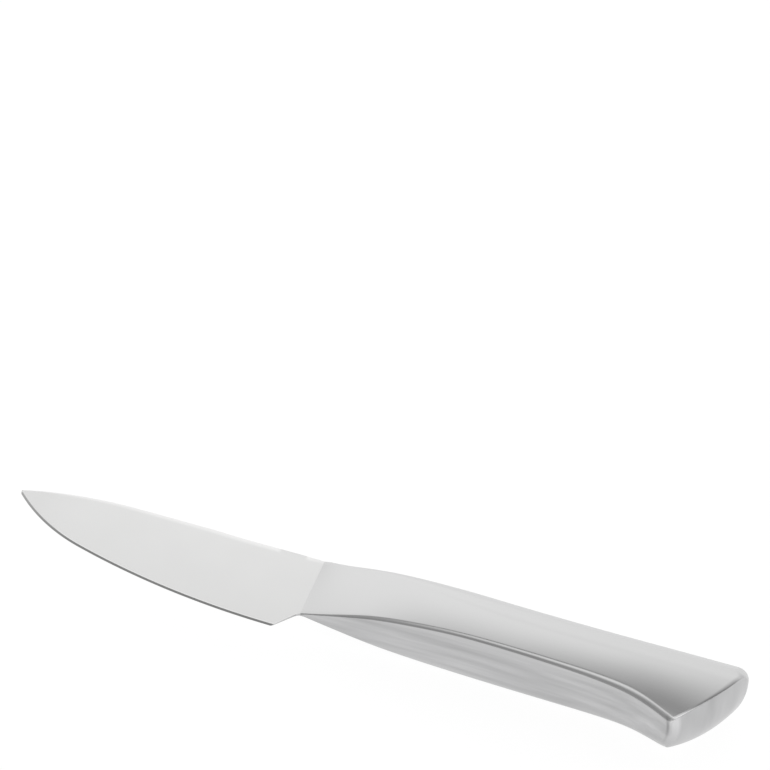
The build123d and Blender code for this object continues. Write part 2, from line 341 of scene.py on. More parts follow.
class Section:
    """The handle's section at each u, set in by a distance.

    Each size is its share from the table times its own length. The spine's dip runs out
    past the crease as a parabola. The flank is a chord with a parabola over it, whose arch
    grows to the difference of the half widths, and the ridge's arc touches flank and belly.
    """

    def __init__(self, u, sizes, inset):
        place = (u - sizes.blade_length) / sizes.handle_length
        inside = np.clip(place, 0, LAST_PLACE)
        shares = natural_spline(SECTION_SHARES[:, 0], SECTION_SHARES[:, 1:], inside)
        shares = np.clip(shares, 0, (1, 1, 1, 1, 2, 1, 1))
        rise, crown, belly, crown_depth, depth, rounding, bow = np.moveaxis(shares, -1, 0)
        dip = sizes.spine_dip * np.clip(1 - place * sizes.handle_length / DIP_END, 0, 1) ** 2
        spine = rise * sizes.spine_hump - dip
        self.top = spine - inset
        self.middle = spine - crown_depth * sizes.handle_depth
        self.floor = inset - depth * sizes.handle_depth
        self.crown = crown * sizes.handle_width / 2 - inset
        self.belly = belly * sizes.handle_width / 2 - inset
        grown = np.clip(place / SECTION_SHARES[2, 0], 0, 1)
        self.arch = 4 * bow * sizes.flank_bow + grown * (self.crown - self.belly)
        slope = np.arctan2(self.crown - self.belly + self.arch, self.middle - self.floor)
        self.turn = math.pi / 2 - slope
        radius = rounding * sizes.ridge_radius * (INNER_RIDGE_SHARE if inset else 1)
        self.reach = radius * np.tan(self.turn / 2)
        self.touch = 1 - self.reach * np.cos(slope) / (self.middle - self.floor)

    def flank(self, share):
        """Height and half width at a share of the way down the flank."""
        bow = self.arch * share * (1 - share)
        return (self.middle + (self.floor - self.middle) * share,
                self.crown + (self.belly - self.crown) * share + bow)


def half_skin(u, sizes, inset=0.0):
    """The handle's surface at each u, from the spine's centre line round to the belly's.

    u has one value for each row and column. The crown is half an ellipse, flank and ridge
    are the section's, and the belly is straight. The outermost columns of crown and belly
    lie at even steps across the seam.
    """
    seam = sizes.seam_width / 2
    ends = np.cumsum((SEAM_COLUMNS + 1, CROWN_COLUMNS, FLANK_COLUMNS, RIDGE_COLUMNS,
                      BELLY_COLUMNS))
    strip, crown, flank, ridge, belly, last = (
        Section(part, sizes, inset) for part in np.split(u, ends, axis=1))
    ridge_v, ridge_w = ridge.flank(ridge.touch)
    t = steps(RIDGE_COLUMNS)
    side = belly.belly - belly.reach
    return section_points(u, (
        over_seam(strip.top, strip.middle, strip.crown, seam),
        beside_seam(crown.top, crown.middle, crown.crown, seam),
        flank.flank(flank.touch * steps(FLANK_COLUMNS)),
        (round_corner(ridge_v, ridge.floor, ridge.floor, ridge.turn, t),
         round_corner(ridge_w, ridge.belly, ridge.belly - ridge.reach, ridge.turn, t)),
        (belly.floor, side + (seam - side) * steps(BELLY_COLUMNS)),
        (last.floor, seam * (1 - steps(SEAM_COLUMNS)) + 0 * last.floor),
    ))


class Butt:
    """The butt: its side profile turned about an axis inside the handle.

    The profile is a round corner by the spine and one long arc that runs on from it.
    A place on it is the length along the profile from where the two arcs meet.
    """

    def __init__(self, sizes, inset=0.0):
        full = sizes.blade_length + sizes.handle_length
        lean = sizes.butt_lean
        out = np.array((math.cos(lean), -math.sin(lean)))
        self.lean = lean
        self.corner = np.array((full - sizes.butt_round, sizes.spine_hump - sizes.butt_round))
        meet = self.corner + out * sizes.butt_round
        low = np.array((full - sizes.butt_setback, -sizes.butt_low))
        chord = meet - low
        long_radius = -(chord @ chord) / (2 * (-chord @ out))
        self.long_centre = meet - out * long_radius
        self.corner_radius = sizes.butt_round - inset
        self.long_radius = long_radius - inset
        self.along = unit(chord)
        self.out = np.array((self.along[1], -self.along[0]))
        self.pivot = low - self.out * sizes.butt_crown

    def in_plane(self, offset, reach):
        """Points of the side plane at the offset's length along the axis and a reach from it."""
        return self.pivot + (offset @ self.along)[..., None] * self.along \
            + reach[..., None] * self.out

    def unturned(self, points):
        """Points turned back about the butt's axis into the side plane."""
        offset = points[..., :2] - self.pivot
        return self.in_plane(offset, np.hypot(offset @ self.out, points[..., 2]))

    def arcs(self, points):
        """Turns and distances of points about the centres of the corner's and the long arc."""
        flat = self.unturned(points)
        offsets = flat - self.corner, flat - self.long_centre
        return [(np.arctan2(offset[..., 1], offset[..., 0]), np.linalg.norm(offset, axis=-1))
                for offset in offsets]

    def beyond(self, points):
        """How far points lie past the butt's surface; far from it, less than nought."""
        (turn, from_corner), (_, from_long) = self.arcs(points)
        past_corner = from_corner - self.corner_radius
        past_long = from_long - self.long_radius
        behind = (points[..., :2] - self.pivot) @ self.out < 0
        past_long = np.where(behind, -1, past_long)
        past = np.where(turn > -self.lean, past_corner, past_long)
        return np.where(turn > math.pi / 2, -1, past)

    def place(self, points):
        """The place along the profile of points on the butt's surface."""
        (high_turn, _), (low_turn, _) = self.arcs(points)
        high = (high_turn + self.lean) * self.corner_radius
        return np.where(high > 0, high, (low_turn + self.lean) * self.long_radius)

    def surface(self, place, w):
        """The point and outward normal on the butt at a place and a distance from the mid-plane."""
        high = (place > 0)[..., None]
        radius = np.where(high[..., 0], self.corner_radius, self.long_radius)
        turn = place / radius - self.lean
        facing = np.stack((np.cos(turn), np.sin(turn)), axis=-1)
        flat = np.where(high, self.corner, self.long_centre) + radius[..., None] * facing
        offset = flat - self.pivot
        reach = offset @ self.out
        swing = np.sqrt(reach ** 2 - w ** 2)
        side = self.in_plane(offset, swing)
        outwards = facing @ self.out
        normal = (facing @ self.along)[..., None] * self.along \
            + (outwards * swing / reach)[..., None] * self.out
        points = np.concatenate((side, w[..., None]), axis=-1)
        normals = np.concatenate((normal, (outwards * w / reach)[..., None]), axis=-1)
        return points, normals


def grid_normals(points):
    """Unit normals of a grid, from the cross product of its central differences."""
    down = np.gradient(points, axis=0)
    across = np.gradient(points, axis=1)
    return unit(np.cross(across, down))


class Corner:
    """The rounded corner between belly and butt.

    Points near the sharp corner are pushed in along its bisector. The push is a parabola
    of their distance from belly and butt, which makes the sharp corner a round one that
    leaves both smoothly.
    """

    def __init__(self, sizes, butt, low, inset):
        self.sizes, self.butt, self.inset = sizes, butt, inset
        step = 0.5 * MM
        depths = Section(low[0] - np.array((step, 0)), sizes, inset).floor
        slope = math.atan2(depths[0] - depths[1], step)
        self.slope_share = math.cos(slope)
        belly_way = np.array((-math.sin(slope), -math.cos(slope)))
        butt_way = butt.surface(butt.place(low[None]), low[None, 2])[1][0, :2]
        turn = math.acos(belly_way @ butt_way)
        self.inwards = np.append(unit(-(belly_way + butt_way)), 0)
        touch = (sizes.corner_radius - inset) * math.tan(turn / 2)
        self.reach = touch * math.sin(turn)
        self.depth = touch * math.sin(turn / 2) / 2

    def distances(self, points):
        """Distances of points from the belly and from the butt."""
        floor = Section(points[..., 0], self.sizes, self.inset).floor
        over_belly = (points[..., 1] - floor) * self.slope_share
        return np.maximum(over_belly, 0), np.maximum(-self.butt.beyond(points), 0)

    def way(self, points):
        """The way round the corner in millimetres, negative on the belly, positive on the butt."""
        over_belly, before_butt = self.distances(points)
        return (over_belly - before_butt) / MM

    def push(self, points):
        """How far points are pushed in: the depth times the square of what is left of the reach."""
        away = np.hypot(*self.distances(points))
        return self.depth * np.clip(1 - away / self.reach, 0, 1) ** 2

    def eased(self, points, normals):
        """Points pushed in, and their normals turned by the slopes of the push."""
        step = 1e-6
        slopes = np.stack([(self.push(points + way) - self.push(points - way)) / (2 * step)
                           for way in np.eye(3) * step], -1)
        across = (normals @ self.inwards) / (1 + slopes @ self.inwards)
        turned = unit(normals - slopes * across[..., None])
        return points + self.push(points)[..., None] * self.inwards, turned


def handle_grids(sizes, inset=0.0):
    """Half of the hollow handle's surface, from the neck's joint to the middle of the butt.

    Rows run along the handle to its meeting with the butt, over the rounded rim on
    an arc that touches both, and in over the butt to the seam. Returns points,
    normals, polish (0 satin, 1 polished), the strip of the seam on the butt, and the way
    round the corner between belly and butt.
    """
    butt = Butt(sizes, inset)
    joint = sizes.blade_length + JOINT_SHARE * sizes.handle_length
    start = joint + sizes.neck_weld_width
    near = np.full((1, ALL_COLUMNS), start)
    far = np.full((1, ALL_COLUMNS), sizes.blade_length + LAST_PLACE * sizes.handle_length)
    for _ in range(BISECTIONS):
        middle = (near + far) / 2
        outside = butt.beyond(half_skin(middle, sizes, inset)) > 0
        near = np.where(outside, near, middle)
        far = np.where(outside, middle, far)
    rim_u = near
    rim = half_skin(rim_u, sizes, inset)[0]

    # The rounding's radius: soft by the crown, small by the flanks and none along the belly,
    # where the corner is pushed in instead
    column = np.arange(ALL_COLUMNS)
    soft = np.clip((SOFT_END - column / CROWN_COLUMNS) * SOFT_FADE, 0, 1)
    sharp = np.clip((column - RIDGE_START + 1) / RIDGE_COLUMNS, 0, 1)
    large = INNER_RIM if inset else sizes.crown_rim
    radius = sizes.rim_radius * (1 - sharp) + (large - sizes.rim_radius) * smooth_step(soft)

    # Over the butt each column runs from the rim to its own place on the seam
    seam = sizes.seam_width / 2
    rim_place = butt.place(rim)
    lengths = np.concatenate(([0], np.cumsum(np.linalg.norm(np.diff(rim, axis=0), axis=-1))))
    share = lengths / lengths[-1]
    first, last = SEAM_COLUMNS, ALL_COLUMNS - 1 - SEAM_COLUMNS
    share = np.clip((share - share[first]) / (share[last] - share[first]), 0, 1)
    margin = SEAM_MARGIN * (rim_place[0] - rim_place[-1])
    upper, lower = rim_place[0] - margin, rim_place[-1] + margin
    goal_place = upper + (lower - upper) * share
    goal_w = np.minimum(rim[:, 2], seam)

    def over_butt(t):
        """Points and normals at a share t of the way from the rim to the seam."""
        return butt.surface(rim_place + (goal_place - rim_place) * t,
                            rim[:, 2] + (goal_w - rim[:, 2]) * t)

    # The rounding touches side and butt at its reach from the rim
    nudge = 0.01
    side_way = unit(rim - half_skin(rim_u - 0.05 * MM, sizes, inset)[0])
    butt_way = (over_butt(nudge)[0] - over_butt(0.0)[0]) / nudge
    turn = np.arccos(np.clip((side_way * unit(butt_way)).sum(-1), -1, 1))
    reach = np.clip(radius * np.tan(turn / 2), *RIM_REACHES)
    share_off = np.clip(reach / np.linalg.norm(butt_way, axis=-1), *RIM_SHARES)
    side_end = rim_u[0] - reach * (1 + SIDE_PILLOW * (1 - soft) * (1 - sharp))
    touch, touch_normals = over_butt(share_off)

    weld = np.linspace(joint, start, WELD_ROWS + 1)[:, None]
    t = steps(GRIP_ROWS)[:, None]
    grip = start + (side_end - start) * t * (1 + GRIP_CROWDING * (1 - t))
    side = half_skin(np.concatenate((weld + 0 * rim_u, grip)), sizes, inset)
    rounding = round_corner(side[-1], rim, touch, turn[None, :, None],
                            steps(RIM_ROWS)[:-1, None, None])
    butt_points, butt_normals = over_butt(
        share_off + (1 - share_off) * steps(BUTT_ROWS)[:, None])
    points = np.concatenate((side, rounding, touch[None], butt_points))
    normals = grid_normals(points)
    rim_row = len(side) + RIM_ROWS - 1
    normals[rim_row] = touch_normals
    normals[rim_row + 1:] = butt_normals
    normals[:, (0, -1), 2] = 0
    corner = Corner(sizes, butt, rim[-1], inset)
    corner_way = corner.way(points)
    points, normals = corner.eased(points, normals)

    over_ridge = np.clip((column - RIDGE_START) / RIDGE_COLUMNS, 0, 1)
    over_rim = np.clip((np.arange(len(points)) - len(side) + 1) / RIM_ROWS, 0, 1)
    polish = np.maximum(over_ridge[None, :], over_rim[:, None])

    strip_w = seam * ACROSS_SEAM
    strip_place = goal_place[first + 1:last, None] + 0 * strip_w
    strip = corner.eased(*butt.surface(strip_place, strip_w + 0 * strip_place))
    return points, normals, polish, strip, corner_way


def arc_centre(start, heading, end):
    """Centre of the arc that leaves start along heading and ends at end.

    It lies on the line square to heading, as far from start as from end.
    """
    square = unit(np.array((-heading[1], heading[0])))
    chord = np.subtract(end, start)
    return start + square * (chord @ chord) / (2 * (chord @ square))


def arc_height(u, centre, start):
    """Height at each u of the arc about centre that runs through start without turning back."""
    radius = math.hypot(start[0] - centre[0], start[1] - centre[1])
    side = math.copysign(1, start[1] - centre[1])
    return centre[1] + side * np.sqrt(np.maximum(radius ** 2 - (u - centre[0]) ** 2, 0))


def edge_height(u, sizes):
    """Height of the cutting edge at each u: three arcs from the heel that run into each other."""
    shares = ((1, 1), BELLY_SHARES, POINT_SHARES, (0, TIP_DEPTH_SHARE))
    points = np.array(shares) * (sizes.edge_length, -sizes.blade_height)
    inside = np.clip(u, 0, sizes.edge_length)
    height, heading = 0 * inside, (-1, 0)
    for start, end in zip(points, points[1:]):
        centre = arc_centre(start, heading, end)
        height = np.where(inside > start[0], height, arc_height(inside, centre, start))
        heading = (end[1] - centre[1], centre[0] - end[0])
    return height


def spine_height(u, sizes):
    """Height of the blade's spine.

    It is one arc up from the tip, then straight, with a slight dip before the neck.
    """
    start = (SPINE_DROP_SHARE * sizes.edge_length, 0)
    centre = arc_centre(start, (-1, 0), (0, -TIP_DEPTH_SHARE * sizes.blade_height))
    fall = np.clip((u / sizes.blade_length - DIP_START) / DIP_FALL, 0, 1)
    dip = sizes.spine_dip * smooth_step(fall)
    return np.where(u < start[0], arc_height(np.minimum(u, start[0]), centre, start), -dip)


def under_height(u, sizes):
    """Height of the blade's lower outline: the edge, the rounded heel, the choil and its arc."""
    heel = np.array((sizes.edge_length, -sizes.blade_height))
    depth = SECTION_SHARES[0, 5] * sizes.handle_depth
    run = sizes.blade_length - sizes.edge_length
    choil = heel + np.array((run, sizes.blade_height - depth)) * CHOIL_SHARES
    heading = unit(choil - heel)
    reach = sizes.heel_radius * math.tan(math.acos(heading[0]) / 2)
    heel_centre = heel + np.array((-reach, sizes.heel_radius))
    rise = heel[1] + (u - heel[0]) * heading[1] / heading[0]
    throat_centre = arc_centre(choil, heading, (sizes.blade_length, -depth))
    height = edge_height(u, sizes)
    height = np.where(u > heel_centre[0], arc_height(u, heel_centre, heel - (reach, 0)), height)
    height = np.where(u > heel[0] + reach * heading[0], rise, height)
    return np.where(u > choil[0], arc_height(u, throat_centre, choil), height)


def blade_rows(u, sizes):
    """The blade's half sections at each u, with the same columns as the handle's.

    The spine's half thickness is a plane through its values at three corners. Each
    grind runs straight from it down to the shoulder of the sharpened bevel, which lies
    at an even distance from the edge, and is never steeper than the steepest grind.
    Each section runs over the eased spine, down the grind, down the bevel and across
    the land.
    """
    half = sizes.edge_land / 2
    corners = np.array((
        (1, sizes.blade_length, 0),
        (1, sizes.edge_length, -sizes.blade_height),
        (1, 0, -TIP_DEPTH_SHARE * sizes.blade_height),
    ))
    thicknesses = (sizes.spine_thickness / 2, sizes.heel_thickness / 2, sizes.tip_thickness / 2)
    level, along, up = np.linalg.solve(corners, np.array(thicknesses))

    top, under, edge = spine_height(u, sizes), under_height(u, sizes), edge_height(u, sizes)
    stretch = np.sqrt(1 + np.gradient(edge, u) ** 2)
    growth = math.tan(sizes.bevel_angle) / stretch
    low = sizes.edge_thickness / 2
    true_shoulder = edge + (low - half) / growth
    wide = np.minimum(level + along * u + up * top,
                      low + np.maximum(top - true_shoulder, 0) * math.tan(sizes.steepest_grind))
    height = top - under
    crease = np.clip((u - sizes.edge_length) / (sizes.blade_length - sizes.edge_length), 0, 1)
    last_crown = SECTION_SHARES[0, 4] * sizes.handle_depth
    crown = sizes.spine_ease + (last_crown - sizes.spine_ease) * crease ** 2
    crown = np.minimum(crown, LOW_CROWN * height)
    ease = np.minimum(SHOULDER_EASE, LOW_EASE * height)
    shoulder = np.clip(true_shoulder, under + ease, top - crown - LOW_GRIND * height)

    def half_thickness(v):
        """Half the thickness at a height v, on the grind or, under the shoulder, the bevel."""
        share = (v - true_shoulder) / np.maximum(top - crown - true_shoulder, half)
        return np.where(v > true_shoulder, low + (wide - low) * share, half + (v - edge) * growth)

    low_end = half_thickness(shoulder)
    wide = np.maximum(wide, low_end)
    land = np.minimum(half_thickness(under), low_end - LOW_LAND * ease)
    land = np.maximum(land, LOW_LAND * half)
    top, crown, under, shoulder = (value[:, None] for value in (top, crown, under, shoulder))
    wide, low, land = wide[:, None], low_end[:, None], land[:, None]
    seam = np.minimum(sizes.seam_width / 2, LOW_SEAM * wide)
    low_seam = np.minimum(sizes.seam_width / 2, LOW_LAND * land)
    line = np.minimum(BEVEL_LINE / (top - crown - shoulder), LOW_LINE)
    grind = np.concatenate((steps(FLANK_COLUMNS - 1) * (1 - line), 1 + 0 * line), axis=1)
    bevel, across, end = (steps(count) for count in (RIDGE_COLUMNS, BELLY_COLUMNS, SEAM_COLUMNS))
    return section_points(u[:, None], (
        over_seam(top, top - crown, wide, seam),
        beside_seam(top, top - crown, wide, seam),
        (top - crown + (shoulder - top + crown) * grind, wide + (low - wide) * grind),
        (shoulder + (under - shoulder) * bevel, low + (land - low) * bevel),
        (under + 0 * across, land + (low_seam - land) * across),
        (under + 0 * end, low_seam * (1 - end)),
    ))


def both_halves(half):
    """A closed loop of columns from half a section and its mirror image."""
    mirrored = half[:, -2:0:-1].copy()
    if half.ndim == 3:
        mirrored[..., 2] *= -1
    return np.concatenate((half, mirrored), axis=1)


def quads_of(index, wrap_columns=False, wrap_rows=False):
    """Quads between neighbouring rows and columns of a grid of vertex numbers."""
    if wrap_columns:
        index = np.concatenate((index, index[:, :1]), axis=1)
    if wrap_rows:
        index = np.concatenate((index, index[:1]), axis=0)
    corners = (index[:-1, :-1], index[:-1, 1:], index[1:, 1:], index[1:, :-1])
    return np.stack(corners, -1).reshape(-1, 4)


def add_object(name, data):
    """A new object in the scene."""
    item = bpy.data.objects.new(name, data)
    bpy.context.scene.collection.objects.link(item)
    return item


def new_piece(name, points, faces, sizes, marks, normals=None, flat=None):
    """A mesh object from points, faces, named values for each point, and corner normals.

    Faces marked flat keep their own normal at their corners.
    """
    mesh = bpy.data.meshes.new(name)
    mesh.from_pydata(into_frame(points, sizes).tolist(), [], [face.tolist() for face in faces])
    mesh.polygons.foreach_set("use_smooth", np.ones(len(mesh.polygons), bool))
    for mark, values in marks.items():
        attribute = mesh.attributes.new(mark, "FLOAT", "POINT")
        attribute.data.foreach_set("value", values.astype(np.float32))
    if normals is None:
        mesh.set_sharp_from_angle(angle=SHARP_ANGLE)
    else:
        own = np.empty(len(mesh.polygons) * 3)
        mesh.polygons.foreach_get("normal", own)
        own = own.reshape(-1, 3)
        corners = normals[faces]
        corners[flat] = own[flat][:, None]
        mesh.normals_split_custom_set(corners.reshape(-1, 3).tolist())
    mesh.validate()
    piece = add_object(name, mesh)
    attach(piece, "root")
    return piece


def walled_patch(name, sizes, outer, inner, outer_normals, marks):
    """A closed sheet of metal between an outer and an inner grid of the same size."""
    rows, columns = outer.shape[:2]
    index = np.arange(rows * columns).reshape(rows, columns)
    inside = index + rows * columns
    out = np.concatenate((index[0, :-1], index[:-1, -1], index[-1, :0:-1], index[:0:-1, 0]))
    rim = np.stack((out, out + rows * columns), -1)
    rim = np.concatenate((rim, np.roll(rim, -1, axis=0)[:, ::-1]), axis=1)
    faces = np.concatenate((quads_of(index), quads_of(inside)[:, ::-1], rim))
    points = np.stack((outer, inner)).reshape(-1, 3)
    normals = np.stack((outer_normals, -grid_normals(inner))).reshape(-1, 3)
    flat = np.arange(len(faces)) >= len(faces) - len(rim)
    marks = {mark: np.tile(values.ravel(), 2) for mark, values in marks.items()}
    return new_piece(name, points, faces, sizes, marks, normals, flat)


def mirrored(grid):
    """A grid's mirror image in the mid-plane, its columns turned round so that it faces out."""
    return grid[:, ::-1] * (1, 1, -1)


class Value:
    """A number socket that sums like a number: each sum adds a Math node."""

    def __init__(self, finish, socket):
        self.finish, self.socket = finish, socket

    def math(self, operation, *terms):
        """The result of a Math node on numbers and values."""
        sockets = dict(enumerate(terms))
        return self.finish.number("ShaderNodeMath", sockets, operation=operation)

    def __add__(self, other):
        return self.math("ADD", self, other)

    def __radd__(self, other):
        return self.math("ADD", other, self)

    def __sub__(self, other):
        return self.math("SUBTRACT", self, other)

    def __rsub__(self, other):
        return self.math("SUBTRACT", other, self)

    def __mul__(self, other):
        return self.math("MULTIPLY", self, other)

    def __rmul__(self, other):
        return self.math("MULTIPLY", other, self)

    def clipped(self):
        """The value held between 0 and 1."""
        return self.finish.number("ShaderNodeClamp", {"Value": self})

    def ramp(self, start, end):
        """0 up to start and 1 from end on, and evenly between them."""
        return ((self - start) * (1 / (end - start))).clipped()

    def band(self, middle, reach, fade):
        """1 within a reach of the middle, falling evenly to 0 over the fade."""
        away = self - middle
        return away.math("ABSOLUTE", away).ramp(reach + fade, reach)


class Finish:
    """The node tree of a material or of the world."""

    def __init__(self, owner):
        owner.use_nodes = True
        self.tree = owner.node_tree
        self.tree.nodes.clear()

    def node(self, kind, sockets, **settings):
        """Outputs of a new node, given its settings and then its sockets' numbers or links."""
        node = self.tree.nodes.new(kind)
        for name, setting in settings.items():
            if name == "stops":
                stops = node.color_ramp.elements
                for number, (place, colour) in enumerate(setting):
                    stop = stops[number] if number < 2 else stops.new(place)
                    stop.position, stop.color = place, colour
            else:
                setattr(node, name, setting)
        for name, given in sockets.items():
            given = given.socket if isinstance(given, Value) else given
            if isinstance(given, bpy.types.NodeSocket):
                self.tree.links.new(given, node.inputs[name])
            else:
                node.inputs[name].default_value = given
        return node.outputs

    def number(self, kind, sockets, output=0, **settings):
        """A node's output as a number that can be summed."""
        return Value(self, self.node(kind, sockets, **settings)[output])

    def mark(self, name):
        """A value that is stored on the piece's points."""
        return self.number("ShaderNodeAttribute", {}, "Fac", attribute_name=name)

    def point(self):
        """The point on the piece."""
        return self.node("ShaderNodeTexCoord", {})["Object"]

    def axis(self, name):
        """The point's place along one axis, in metres."""
        return self.number("ShaderNodeSeparateXYZ", {"Vector": self.point()}, name)

    def scaled(self, vector, scale):
        """A vector or colour times a number, or times a vector axis by axis."""
        socket, operation = (1, "MULTIPLY") if isinstance(scale, tuple) else ("Scale", "SCALE")
        return self.node("ShaderNodeVectorMath", {0: vector, socket: scale}, operation=operation)[0]

    def noise(self, waves, detail):
        """Cloudy values round nought, with so many waves per metre along each axis."""
        place = self.scaled(self.point(), waves)
        sockets = {"Vector": place, "Scale": 1.0, "Detail": detail}
        return self.number("ShaderNodeTexNoise", sockets) - 0.5

    def blend(self, share, first, second):
        """A mix of two colours."""
        first = (*first, 1) if isinstance(first, tuple) else first
        sockets = {0: share, 6: first, 7: (*second, 1)}
        return self.node("ShaderNodeMix", sockets, data_type="RGBA")[2]


def steel(name, build):
    """A steel material: build gives its colour, shade, roughness and height in metres."""
    material = bpy.data.materials.new(name)
    finish = Finish(material)
    colour, shade, roughness, height = build(finish)
    bump = finish.node("ShaderNodeBump", {"Strength": 1.0, "Distance": 1.0, "Height": height})
    shader = finish.node("ShaderNodeBsdfPrincipled", {
        "Base Color": finish.scaled(colour, shade), "Metallic": 1.0,
        "Roughness": roughness.clipped(), "Normal": bump[0]})
    finish.node("ShaderNodeOutputMaterial", {"Surface": shader[0]})
    return material


def handle_steel(colours):
    """Satin sides with a fine lengthwise grain, polished belly and butt with soft clouds.

    A bright band and a dark line, a painted highlight and a painted dark reflection, run round
    the upper corner between belly and butt, and a painted highlight brightens the butt's rim
    midway between satin and polish. The polished colour is darker than the satin partly as
    painted shade.
    """
    def build(finish):
        polish, corner = finish.mark("polish"), finish.mark("corner")
        satin = 1 - polish
        grain, fine = finish.noise(LONG_GRAIN, 2), finish.noise(FINE_GRAIN, 1)
        on_butt = corner.ramp(-1, 1)
        clouds = finish.noise(LONG_CLOUDS, 3) * (1 - on_butt) \
            + finish.noise(BUTT_CLOUDS, 2) * on_butt
        height = (finish.axis("Z") - (CAD_BOX[0][2] + CAD_BOX[1][2]) / 2) * (1 / MM)
        high = height.ramp(*UPPER_SIDE)
        # Painted reflections: a bright band and a dark line round the corner, fading in towards the
        # top
        band, line = corner.band(*PAINTED_CORNER_BAND) * high, corner.band(*PAINTED_CORNER_LINE) * high
        # Painted highlight along the butt's rim, where satin turns to polish, with a rougher finish
        # there
        painted_rim_highlight = polish * satin * 4 * corner.ramp(*RIM_HIGHLIGHT_GOES) * corner.ramp(*RIM_HIGHLIGHT_COMES)
        # Polished places take a colour darkened partly as painted shade
        colour = finish.blend(polish, tuple(colours.side_steel), tuple(colours.polished_and_shaded_steel))
        shade = 1 + satin * (grain * GRAIN_SHADE + fine * FINE_SHADE) + painted_rim_highlight * RIM_HIGHLIGHT_SHADE \
            + polish * (clouds * CLOUD_SHADE + band * PAINTED_BAND_SHADE - line * PAINTED_LINE_SHADE)
        roughness = satin * (SATIN_ROUGHNESS + grain * GRAIN_ROUGHNESS) \
            + painted_rim_highlight * RIM_HIGHLIGHT_ROUGHNESS \
            + polish * (POLISHED_ROUGHNESS + clouds * CLOUD_ROUGHNESS)
        height = satin * (grain + fine) * GRAIN_HEIGHT + polish * clouds * CLOUD_HEIGHT
        return colour, shade, roughness, height
    return steel("handle_steel", build)


def blade_steel(colours):
    """Satin blade ground across its length, with a finer bevel, running into the handle's satin."""
    def build(finish):
        neck, above, polish = (finish.mark(name) for name in ("neck", "above_bevel", "polish"))
        flat = 1 - neck
        # The bevel is darkened as painted shade, and a thin painted highlight runs along its
        # shoulder
        bevel, painted_glint = above.ramp(*BEVEL_FADE), above.band(*PAINTED_BEVEL_GLINT)
        grind, clouds = finish.noise(CROSS_GRIND, 2), finish.noise(BLADE_CLOUDS, 3)
        streaks = polish * finish.noise(LONG_CLOUDS, 3)
        grain = finish.noise(LONG_GRAIN, 2)
        satin = finish.blend(neck, tuple(colours.blade_steel), tuple(colours.side_steel))
        # The polished ridge takes a colour darkened partly as painted shade
        colour = finish.blend(polish, satin, tuple(colours.polished_and_shaded_steel))
        # Painted shade on the bevel and a painted highlight over it, beside the grain and clouds
        shade = 1 + neck * grain * GRAIN_SHADE + streaks * CLOUD_SHADE \
            + flat * (grind * GRAIN_SHADE + clouds * BLADE_CLOUD_SHADE) \
            + flat * (painted_glint * PAINTED_GLINT_SHADE - bevel * PAINTED_BEVEL_SHADE)
        roughness = SATIN_ROUGHNESS + flat * (grind * GRAIN_ROUGHNESS - bevel * BEVEL_ROUGHNESS) \
            + neck * grain * GRAIN_ROUGHNESS + streaks * CLOUD_ROUGHNESS \
            - polish * (SATIN_ROUGHNESS - POLISHED_ROUGHNESS)
        height = (flat * (1 - bevel) * grind + neck * (1 - polish) * grain) * GRAIN_HEIGHT \
            + streaks * CLOUD_HEIGHT
        return colour, shade, roughness, height
    return steel("blade_steel", build)


class BuildBlade(bpy.types.Operator):
    """Makes the ground blade, its neck and its spigot as one forging"""

    bl_idname = "knife.blade"
    bl_label = "Blade and neck"

    def execute(self, context):
        sizes, colours = context.scene.knife_sizes, context.scene.knife_finish
        heel, crease = sizes.edge_length, sizes.blade_length
        joint = crease + JOINT_SHARE * sizes.handle_length
        tip = TIP_START + TIP_RUN * np.linspace(0, 1, TIP_ROWS) ** TIP_CROWDING
        body = np.linspace(TIP_RUN, heel - CHOIL_RUN, BODY_ROWS)[1:]
        choil = np.linspace(heel - CHOIL_RUN, crease, CHOIL_ROWS)[1:-1]
        throat = np.linspace(crease, crease + CREASE_RUN, CREASE_ROWS)[:-1]
        neck = np.concatenate((throat, np.linspace(crease + CREASE_RUN, joint, NECK_ROWS)))
        spigot = np.linspace(joint, joint + sizes.spigot_length, SPIGOT_ROWS)
        flat = blade_rows(np.concatenate((tip, body, choil)), sizes)
        across = np.zeros(ALL_COLUMNS)
        inset = sizes.wall + sizes.spigot_clearance
        half = np.concatenate((flat, half_skin(neck[:, None] + across, sizes),
                               half_skin(spigot[:, None] + across, sizes, inset)))
        loop = both_halves(half)
        rows, around = loop.shape[:2]
        index = np.arange(rows * around).reshape(rows, around)
        ends = loop[(0, -1), :].mean(axis=1)
        points = np.concatenate((loop.reshape(-1, 3), ends))
        tip_end, spigot_end = rows * around, rows * around + 1
        turned = np.roll(index, -1, axis=1)
        caps = np.concatenate((
            np.stack((turned[0], index[0], np.full(around, tip_end)), -1),
            np.stack((index[-1], turned[-1], np.full(around, spigot_end)), -1),
        ))
        faces = [*quads_of(index, wrap_columns=True), *caps]

        along = half[:, :, 0]
        over_ridge = np.clip((np.arange(ALL_COLUMNS) - RIDGE_START + 1) / RIDGE_COLUMNS, 0, 1)
        shoulder = half[:, RIDGE_START - 1:RIDGE_START, 1]
        above = np.clip((half[:, :, 1] - shoulder) / MM, -1, FAR_OVER_BEVEL)
        marks = {
            "neck": np.clip((along - crease + NECK_START) / NECK_FADE, 0, 1),
            "above_bevel": np.where(along < crease - BEVEL_END, above, FAR_OVER_BEVEL),
            "polish": over_ridge * np.clip((along - heel) / (crease - heel), 0, 1),
        }
        marks = {name: np.append(both_halves(value), (0, 0)) for name, value in marks.items()}
        piece = new_piece("ground_blade", points, faces, sizes, marks)
        piece.data.materials.append(blade_steel(colours))
        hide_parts("blade")
        return {"FINISHED"}


